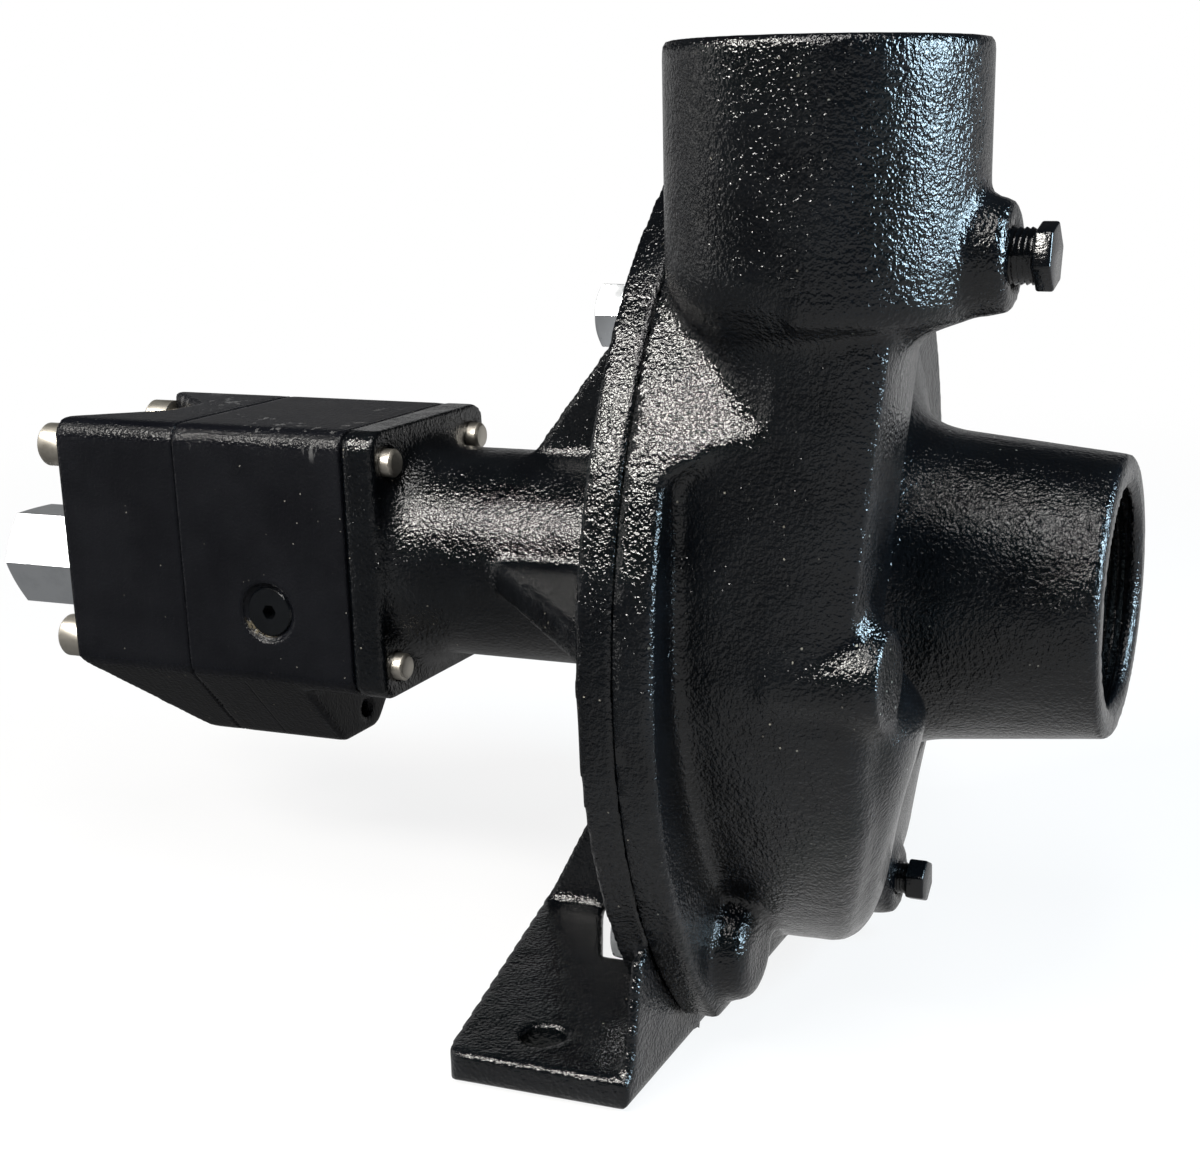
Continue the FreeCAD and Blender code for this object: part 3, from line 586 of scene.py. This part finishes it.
# %% Melting
SHRINK, GROW = 0.50, -0.52
EVENING_STEPS = 4
LEAST_FREE = 0.3
FILL_SHARE = 0.5
FLAT_BAND = 0.9
RIM_RADIUS = 129.5
SKIN_VOXEL = 1.58


def remesh(piece, voxel_mm):
    """Small squares in place of the piece's faces, drawn back onto the faces that they replace."""
    before = bpy.data.objects.new(piece.name + "_before", piece.data)
    scene.collection.objects.link(before)
    modifier = piece.modifiers.new("remesh", "REMESH")
    modifier.mode = "VOXEL"
    modifier.voxel_size = voxel_mm * MM
    wrap = piece.modifiers.new("wrap", "SHRINKWRAP")
    wrap.target = before
    apply_all(piece)
    bpy.data.objects.remove(before)
    return piece


def corner_normals(points, quads):
    """Outward normals at the vertices of a mesh of quads."""
    across = np.cross(points[quads[:, 2]] - points[quads[:, 0]], points[quads[:, 3]] - points[quads[:, 1]])
    normals = np.zeros_like(points)
    for k in range(4):
        for axis in range(3):
            normals[:, axis] += np.bincount(quads[:, k], across[:, axis], len(points))
    return normals / np.maximum(np.linalg.norm(normals, axis=1, keepdims=True), 1e-12)


def from_axis(about, start, direction):
    """How far points lie along an axis, and the vectors that lead from it to them."""
    away = about - np.array(start)
    along = away @ np.array(direction)
    return along, away - along[:, None] * np.array(direction)


def melt(piece, passes, outer, sleeves=(), flats=()):
    """Drift every vertex to its neighbours' middle, freely in hollow corners and a little elsewhere."""
    points = read_points(piece)
    edges = read(piece.data.edges, "vertices", 2, np.int32)
    quads = read_quads(piece)
    ends = np.concatenate((edges, edges[:, ::-1]))
    degree = np.bincount(ends[:, 0], minlength=len(points))[:, None]
    about = read_about(piece)
    free = np.ones(len(points))
    for start, direction, radius, length in sleeves:
        depth, radial = from_axis(about, start, direction)
        free[(np.linalg.norm(radial, axis=1) < radius) & (depth > 0) & (depth < length)] = 0.0
    for x in flats:
        free[np.abs(about[:, 0] - x) < FLAT_BAND] = 0.0
    for step in range(-EVENING_STEPS, passes):
        sums = [np.bincount(ends[:, 0], points[ends[:, 1], axis], len(points)) for axis in range(3)]
        drift = np.stack(sums, 1) / degree - points
        if step < 0:
            points += drift * (SHRINK if step % 2 == 0 else GROW) * np.maximum(free, LEAST_FREE)[:, None]
            continue
        if step % 4 == 0:
            normals = corner_normals(points, quads)
        rise = (drift * normals).sum(1)
        points += drift * (np.where(rise > 0, FILL_SHARE, outer) * free)[:, None]
    write_points(piece, points)
    piece.data.shade_smooth()
    return points


def ream(piece, start, direction, low, high, length, radius):
    """Widen a bore, so that the thread's ridges can stand in it."""
    about = read_about(piece)
    depth, radial = from_axis(about, start, direction)
    side = np.linalg.norm(radial, axis=1)
    wall = (side > low) & (side < high) & (depth > 0) & (depth < length)
    about[wall] += radial[wall] * (radius / side[wall] - 1)[:, None]
    write_about(piece, about)


def true_rim(piece, x_mm):
    """Set the vertices near the rim's corner on one circle, so that the joint runs true."""
    about = read_about(piece)
    x, y, z = about.T
    r = np.hypot(y, z)
    near = np.hypot(x - x_mm, r - RIM_RADIUS) < 1.15
    about[near] = np.stack([np.full_like(x, x_mm), y * RIM_RADIUS / r, z * RIM_RADIUS / r], 1)[near]
    write_about(piece, about)


def finish_skin(piece, x_mm, node):
    """Set a skin's rim true, hold it within the box of the engineering model and paint it."""
    true_rim(piece, x_mm)
    write_points(piece, np.clip(read_points(piece), cad_box[0], cad_box[1]))
    wear(piece, cast_black, "cast_black", node)
    print(piece.name, count_triangles(piece), "triangles")


print("squares of", SKIN_VOXEL, "mm on the castings")

# %% [markdown]
# ## Casing
# The engineering model rounds the scroll's front and runs the neck straight up. The photograph
# shows a squarer front edge on the lower half, a neck that slants back from the near wall and
# a step under the discharge boss. The skin gets the first and the last as added solids before
# the remeshing, and the slant as a push on its vertices.

# %% Casing
DISCHARGE_X, DISCHARGE_Y, VENT_Z, DRAIN_Z = 36.6, -91.8, 93.2, -86.5
TONGUE, SCROLL_R0, SCROLL_R1 = 60, 86, 116.7
EDGE_ROUND, EDGE_SUNK = 7, 0.3
EDGE_TURNS = (216, 250, 280, 300, 320, 340, 356)
EDGE_FRONTS = (20.5, 27, 30, 34, 42.5, 51, 54)
BOSS_STEPS = ((78.5, 29.5), (80.5, 33.2), (84.0, 34.6), (96.0, 34.6))
NECK_WALL_Y, GAUGE_Y, GAUGE_Z, GAUGE_X = -62, -105.4, 2, 56.0


def edge_section(deg):
    """The scroll's squarer front edge at one angle, in distance along the shaft and from it."""
    r = SCROLL_R0 + (SCROLL_R1 - SCROLL_R0) * ((deg - TONGUE) / 300) ** 3.5 - EDGE_SUNK
    x = np.interp(deg, EDGE_TURNS, EDGE_FRONTS)
    low = np.interp(deg, (285, 320), (52, r - 26))
    front = np.interp(deg, (285, 320), (34, x))
    edge = [(x - EDGE_ROUND + EDGE_ROUND * math.sin(a), r - EDGE_ROUND + EDGE_ROUND * math.cos(a))
            for a in (0.0, 0.4, 0.8, 1.2, math.pi / 2)]
    return [(10, r - 5), (10, r), *edge, (front, low), (front - 5, low), (x - 5, r - 9), (x - 9, r - 5)]


def add_shoulder(shape):
    """The squarer front edge of the lower scroll, and the step under the discharge boss."""
    rings = []
    for deg in np.linspace(EDGE_TURNS[0], EDGE_TURNS[-1], 36):
        turn = math.radians(deg)
        rings.append([about_shaft(x, -r * math.cos(turn), r * math.sin(turn)) for x, r in edge_section(deg)])
    join_rings(shape, rings)
    join_rings(shape, [[about_shaft(DISCHARGE_X + r * math.cos(a), DISCHARGE_Y + r * math.sin(a), z)
                        for a in np.linspace(-1.5, 1.6, 30)] for z, r in BOSS_STEPS])


def pinch_neck(piece):
    """Slant the neck's suction side, up to the step of the boss, and shorten the gauge boss."""
    about = read_about(piece)
    x, y, z = about.T.copy()
    near = NECK_WALL_Y - y
    limit = 40.0 + 0.12 * z + 0.285 * near - 0.0025 * near * near
    place = smooth_step(z, -16, 6) * (1 - smooth_step(z, 74, 80)) * smooth_step(-y, 50, 60)
    beyond = smooth_step(np.hypot(y - GAUGE_Y, z - GAUGE_Z), 12, 15)
    about[:, 0] -= 0.85 * np.maximum(x - limit, 0) * place * beyond
    about[:, 0] -= 0.8 * np.maximum(x - GAUGE_X, 0) * (1 - beyond)
    write_about(piece, about)


casing = remesh(merged_copy("volute_casing_skin", "volute_casing", extra=add_shoulder), SKIN_VOXEL)
pinch_neck(casing)
casing_sleeves = [
    ((24, 0, 0), ALONG_X, 31.5, 70), ((DISCHARGE_X, DISCHARGE_Y, 100), ALONG_Z, 25.6, 40),
    ((60, DISCHARGE_Y, VENT_Z), ALONG_X, 7.5, 20), ((8, 0, DRAIN_Z), ALONG_X, 6.0, 26),
    *[((-2, y, z), ALONG_X, 6.5, 18) for y, z in BOLTS],
]
melt(casing, 10, 0.06, casing_sleeves, (0.0,))
finish_skin(casing, 0.3, "volute_casing")

# %% [markdown]
# ## Bracket
# The photograph shows daylight through the foot beside the post and a thin web beside the
# disc. Both are cut out of the bracket's skin before it is remeshed, and the foot's outer
# corners are rounded after it.

# %% Bracket
FOOT_OPENING = ((-12, 59), (-35.5, 59), (-53, 18.5), (-12, 18.5))
FOOT_CORNERS = (((0, -44.3, -1), (1, 120.4, 1), 5.0), ((0, -4.0, 1), (2, -100.8, -1), 4.0),
                ((1, 122.4, 1), (2, -101.8, -1), 3.0))


def rim_arc(radius, start, end, count):
    return [(radius * math.cos(a), -radius * math.sin(a)) for a in np.linspace(start, end, count)]


def carve(piece, prisms):
    """Cut prisms, each an outline with the way it extends, out of the piece."""
    cutter = bmesh.new()
    for outline, away in prisms:
        join_rings(cutter, [outline, [p + Vector(away) * MM for p in outline]])
    bmesh.ops.recalc_face_normals(cutter, faces=cutter.faces)
    tool = new_object("cutter", cutter)
    modifier = piece.modifiers.new("carve", "BOOLEAN")
    modifier.operation = "DIFFERENCE"
    modifier.object = tool
    apply_all(piece)
    bpy.data.objects.remove(tool)


def open_foot(piece):
    """The openings through the foot beside the post, and the web's ends thinned and lowered."""
    inner = rim_arc(129.9, 0.44, 0.835, 12)
    upper = rim_arc(129.8, 0.42, 0.56, 5)
    thin, tops = [], []
    for s in (-1, 1):
        thin.append(([about_shaft(x, s * y, -110) for x, y in FOOT_OPENING], (0, 0, 14.1)))
        thin.append(([about_shaft(-11, s * y, z) for y, z in (*inner, (135, -96.0), (135, -55.3))], (8.2, 0, 0)))
        tops.append(([about_shaft(-12, s * y, z) for y, z in (*upper, (136, -69.0), (136, -52.9))], (14.0, 0, 0)))
    carve(piece, thin)
    carve(piece, tops)
    return piece


def soften_foot(piece):
    """Round the foot's outer corners in plan, and its lower edges in front and at the ends."""
    about = read_about(piece)
    half = np.where(about[:, 1] < 0, -1.0, 1.0)
    about[:, 1] *= half
    low = about[:, 2] < -90
    for (a, from_a, sign_a), (b, from_b, sign_b), radius in FOOT_CORNERS:
        out_a = (about[:, a] - from_a) * sign_a
        out_b = (about[:, b] - from_b) * sign_b
        corner = low & (out_a > 0) & (out_b > 0) & (np.hypot(out_a, out_b) > radius)
        share = radius / np.hypot(out_a, out_b)[corner]
        about[corner, a] = from_a + sign_a * out_a[corner] * share
        about[corner, b] = from_b + sign_b * out_b[corner] * share
    about[:, 1] *= half
    write_about(piece, about)


bracket = remesh(open_foot(merged_copy("motor_bracket_skin", "motor_bracket")), SKIN_VOXEL)
soften_foot(bracket)
bracket_sleeves = [
    ((-130, 0, 0), ALONG_X, 28.5, 132), ((-48, 0, 0), (0, 0.7071, -0.7071), 5.5, 50),
    *[((-14, y, z), ALONG_X, 6.5, 15) for y, z in BOLTS],
    *[((-125, y, z), ALONG_X, 5.5, 13) for y, z in SCREWS],
    *[((-29.4, s * 109.3, -106), ALONG_Z, 7.5, 12) for s in (-1, 1)],
]
melt(bracket, 12, 0.04, bracket_sleeves, (0.0,))
finish_skin(bracket, -0.3, "motor_bracket")

# %% [markdown]
# ## Motor covers
# The motor is three blocks under four long screws. They are castings too, milled flat on the
# sides, so their long edges keep a rounded, pebbled skin while the flats show the cutter's
# path. An attribute tells the paint which vertices lie on a rounding.

# %% Motor covers


BELLY_SLOPE = (0.7348, 0.6783)


def cover(name, ends, *names):
    """One block of the motor, with its bores kept and its roundings marked for the paint."""
    piece = remesh(merged_copy(name, *names), 1.1)
    sleeves = [
        *[((-230, y, z), ALONG_X, 5.6, 108) for y, z in SCREWS],
        *[((-215, 0, z), ALONG_X, 15.5, 92) for z in (0, -11, -30)],
        ((-151, -35, -15), ALONG_Y, 10.0, 16), ((-199, 0, 24), ALONG_X, 10.0, 14),
    ]
    points = melt(piece, 10, 0.22, sleeves, ends)
    normals = corner_normals(points, read_quads(piece))
    across, down = BELLY_SLOPE
    faces = np.array((ALONG_X, ALONG_Y, ALONG_Z, (0, across, -down), (0, -across, -down)))
    flat = np.abs(normals @ faces.T).max(1)
    layer = piece.data.attributes.new("rounding", "FLOAT", "POINT")
    layer.data.foreach_set("value", np.clip((0.9995 - flat) / 0.012, 0, 1).astype(np.float32))
    wear(piece, motor_black, "motor_black", *names)
    print(piece.name, count_triangles(piece), "triangles")


cover("rear_cover_skin", (-179.5,), "rear_cover")
cover("front_covers_skin", (-179.5, -123.5), "gear_housing", "front_cover")

# %% [markdown]
# ## Threads
# The engineering model keeps its threaded bores plain. A thread is one triangle that follows
# a spiral, which Geometry Nodes can say in a few nodes. The bores of the skin are widened to
# the thread's outer diameter, so that the ridges stand in them and end at the inner diameter.
# One tree serves all the ports: only radius, pitch, turns and depth change.

# %% Thread maker


def new_tree(name, sockets):
    """An empty geometry tree with named inputs, and its input node's sockets."""
    tree = bpy.data.node_groups.new(name, "GeometryNodeTree")
    tree.interface.new_socket(name="Geometry", in_out="INPUT", socket_type="NodeSocketGeometry")
    tree.interface.new_socket(name="Geometry", in_out="OUTPUT", socket_type="NodeSocketGeometry")
    for title, kind in sockets:
        tree.interface.new_socket(name=title, in_out="INPUT", socket_type="NodeSocket" + kind)
    return tree, tree.nodes.new("NodeGroupInput").outputs


def place_node(tree, kind, settings, inputs, output=0):
    """A node with its settings, its inputs set or linked, and one of its outputs handed back."""
    node = tree.nodes.new(kind)
    for key, value in settings.items():
        setattr(node, key, value)
    for key, value in inputs.items():
        if isinstance(value, bpy.types.NodeSocket):
            tree.links.new(value, node.inputs[key])
        else:
            node.inputs[key].default_value = value
    return node.outputs[output]


def grow(tree, name, material, **values):
    """Run a tree on an empty object with these inputs and keep the result as a plain mesh."""
    base = values.pop("base", None) or bpy.data.meshes.new(name)
    piece = bpy.data.objects.new(name, base)
    scene.collection.objects.link(piece)
    modifier = piece.modifiers.new("grow", "NODES")
    titles = {s.name: s.identifier for s in tree.interface.items_tree if s.in_out == "INPUT"}
    modifier.node_group = tree
    modifier[titles["Material"]] = material
    for title, value in values.items():
        modifier[titles[title.replace("_", " ")]] = value
    return apply_all(piece)


thread_tree, given = new_tree("thread", [("Radius", "Float"), ("Pitch", "Float"), ("Turns", "Float"),
                                         ("Depth", "Float"), ("Lean", "Float"), ("Material", "Material")])
height = place_node(thread_tree, "ShaderNodeMath", {"operation": "MULTIPLY"}, {0: given["Pitch"], 1: given["Turns"]})
spiral = place_node(thread_tree, "GeometryNodeCurveSpiral", {}, {
    "Resolution": 40, "Rotations": given["Turns"], "Height": height,
    "Start Radius": given["Radius"], "End Radius": given["Radius"]})
spiral = place_node(thread_tree, "GeometryNodeSetCurveNormal", {"mode": "Z_UP"}, {"Curve": spiral})
ridge = place_node(thread_tree, "GeometryNodeCurvePrimitiveCircle", {"mode": "RADIUS"},
                   {"Resolution": 3, "Radius": given["Depth"]})
turned = place_node(thread_tree, "ShaderNodeCombineXYZ", {}, {"Z": given["Lean"]})
ridge = place_node(thread_tree, "GeometryNodeTransform", {}, {"Geometry": ridge, "Rotation": turned})
swept = place_node(thread_tree, "GeometryNodeCurveToMesh", {},
                   {"Curve": spiral, "Profile Curve": ridge, "Fill Caps": True})
flat = place_node(thread_tree, "GeometryNodeSetShadeSmooth", {}, {0: swept, "Shade Smooth": False})
plain = place_node(thread_tree, "GeometryNodeRealizeInstances", {}, {"Geometry": flat})
painted = place_node(thread_tree, "GeometryNodeSetMaterial", {}, {"Geometry": plain, "Material": given["Material"]})
place_node(thread_tree, "NodeGroupOutput", {}, {0: painted}, slice(0))


def thread(name, slot, start, along, radius_mm, pitch_mm, length_mm, depth_mm, lean):
    """One thread about an axis, from a start in millimetres about the shaft."""
    piece = grow(thread_tree, name, finishes[slot], Radius=radius_mm * MM, Pitch=pitch_mm * MM,
                 Turns=length_mm / pitch_mm, Depth=depth_mm * MM, Lean=lean)
    turn = Vector(along).to_track_quat("Z", "Y").to_matrix().to_4x4()
    piece.data.transform(Matrix.Translation(about_shaft(*start)) @ turn)
    return wear(piece, finishes[slot], slot)


INWARD = math.pi / 2
PORT_PITCH, RETURN_PITCH = 2.21, 1.81
ream(casing, (62.5, 0, 0), ALONG_X, 27.8, 29.6, 25.2, 30.2)
ream(casing, (DISCHARGE_X, DISCHARGE_Y, 106.8), ALONG_Z, 21.8, 23.6, 27.6, 24.0)
ports = [
    thread("suction_thread", "cast_black", (63.5, 0, 0), ALONG_X, 29.75, PORT_PITCH, 23.2, 1.15, INWARD),
    thread("discharge_thread", "cast_black", (DISCHARGE_X, DISCHARGE_Y, 108.0), ALONG_Z, 23.55, PORT_PITCH, 25.0,
           1.15, INWARD),
    thread("return_thread", "zinc", (-247, 0, -11), (-1, 0, 0), 9.25, RETURN_PITCH, 12.0, 0.75, INWARD),
]
print([count_triangles(p) for p in ports], "triangles on the threads")

# %% [markdown]
# ## Pipe plugs
# The two plugs are screwed in only part of the way, so a few turns of their thread show
# between the boss and the hexagon. The same thread tree serves here, turned outside in.

# %% Pipe plugs


def bevelled(piece, width_mm, segments, degrees=30, harden=False):
    """Round a piece's sharp edges, for good."""
    bevel = piece.modifiers.new("bevel", "BEVEL")
    bevel.width = width_mm * MM
    bevel.segments = segments
    bevel.limit_method = "ANGLE"
    bevel.angle_limit = math.radians(degrees)
    bevel.harden_normals = harden
    piece.data.shade_smooth()
    return apply_all(piece)


def plug(node, start, head_x, end_x, flats_mm, stem_mm, pitch_mm, turn):
    """A hexagon and a stem about the plug's axis, with a thread wound round the stem."""
    shape = bmesh.new()
    x0, y, z = start
    spin = Matrix.Rotation(math.pi / 2, 4, "Y")
    head = (head_x, end_x, flats_mm / math.sqrt(3), 6)
    stem = (x0, head_x + 0.5, stem_mm, 32)
    for low, high, radius, sides in (head, stem):
        place = Matrix.Translation(about_shaft((low + high) / 2, y, z)) @ Matrix.Rotation(turn, 4, "X") @ spin
        bmesh.ops.create_cone(shape, cap_ends=True, segments=sides, radius1=radius * MM, radius2=radius * MM,
                              depth=(high - low) * MM, matrix=place)
    made = bevelled(new_object(node + "_turned", shape), 0.6, 3)
    thread(node + "_thread", "plug_black", (x0 + 1, y, z), ALONG_X, stem_mm, pitch_mm, head_x - x0 - 1, 0.55, -INWARD)
    return wear(made, plug_black, "plug_black", node)


plugs = [plug("vent_plug", (66.0, DISCHARGE_Y, VENT_Z), 82.8, 86.7, 12.9, 5.5, 1.25, 0.25),
         plug("drain_plug", (21.0, 0, DRAIN_Z), 34.8, 40.1, 11.0, 4.1, 1.0, 0.6)]
print([count_triangles(p) for p in plugs], "triangles on the plugs")

# %% [markdown]
# ## Fasteners turned by hand
# A mechanic leaves every bolt at another angle, and pattern-made bolts all point the same
# way. One bolt, one washer and one screw are taken from the model, moved to the middle and
# set back on their places by a tree that turns each about its own axis. The seed is fixed.

# %% Fasteners
row_tree, given = new_tree("turned_fasteners", [("Fastener", "Object"), ("Seed", "Int"), ("Turn", "Float"),
                                                ("Material", "Material")])
one = place_node(row_tree, "GeometryNodeObjectInfo", {"transform_space": "ORIGINAL"},
                 {"Object": given["Fastener"], "As Instance": True}, "Geometry")
low = place_node(row_tree, "ShaderNodeMath", {"operation": "MULTIPLY"}, {0: given["Turn"], 1: -1.0})
angle = place_node(row_tree, "FunctionNodeRandomValue", {"data_type": "FLOAT"},
                   {2: low, 3: given["Turn"], "Seed": given["Seed"]}, 1)
rotation = place_node(row_tree, "ShaderNodeCombineXYZ", {}, {"X": angle})
placed = place_node(row_tree, "GeometryNodeInstanceOnPoints", {},
                    {"Points": given["Geometry"], "Instance": one, "Rotation": rotation})
plain = place_node(row_tree, "GeometryNodeRealizeInstances", {}, {"Geometry": placed})
painted = place_node(row_tree, "GeometryNodeSetMaterial", {}, {"Geometry": plain, "Material": given["Material"]})
place_node(row_tree, "NodeGroupOutput", {}, {0: painted}, slice(0))


def first_of(node, near_y, near_z):
    """The one fastener of a node that lies about an axis, moved onto the shaft's axis."""
    shape = bmesh.new()
    shape.from_mesh(nodes[node].data)
    bmesh.ops.remove_doubles(shape, verts=shape.verts, dist=1e-6)
    middle = about_shaft(0, near_y, near_z)
    far = [v for v in shape.verts if math.hypot(v.co.y - middle.y, v.co.z - middle.z) > 0.012]
    bmesh.ops.delete(shape, geom=far, context="VERTS")
    bmesh.ops.translate(shape, verts=shape.verts, vec=(0, -middle.y, -middle.z))
    bmesh.ops.dissolve_limit(shape, angle_limit=math.radians(0.5), verts=shape.verts, edges=shape.edges)
    return bevelled(new_object(node + "_one", shape), 0.25, 2, 28, True)


def fasteners(node, places, slot, seed, turn_deg):
    """All the fasteners of a node, each turned by up to so many degrees either way."""
    one = first_of(node, *places[0])
    base = bpy.data.meshes.new(node + "_places")
    base.from_pydata([(0.0, *about_shaft(0, y, z).yz) for y, z in places], [], [])
    piece = grow(row_tree, node + "_set", finishes[slot], base=base, Fastener=one, Seed=seed,
                 Turn=math.radians(turn_deg))
    bpy.data.objects.remove(one)
    return wear(piece, finishes[slot], slot, node)


sets = [fasteners("casing_bolts", BOLTS, "zinc", 5, 25), fasteners("casing_lock_washers", BOLTS, "zinc", 9, 150),
        fasteners("motor_screws", SCREWS, "stainless", 3, 30)]
print([count_triangles(p) for p in sets], "triangles on the fasteners")

# %% [markdown]
# ## The check valve's spring
# When oil pushes the poppet back, its spring shortens: one end of the coil stays at the retaining clip and the other
# goes with the poppet.
# Here the coil is a smoothed, painted copy of the model's, at its length at rest.

# %% Check spring
coil = merged_copy("check_spring_coil", "check_spring")
coil.data.shade_smooth()
low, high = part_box("check_spring")
paint(coil, spring_steel, "spring_steel", "check_spring")
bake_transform(coil)
print("coil", round((high[0] - low[0]) / MM, 1), "mm long at rest")
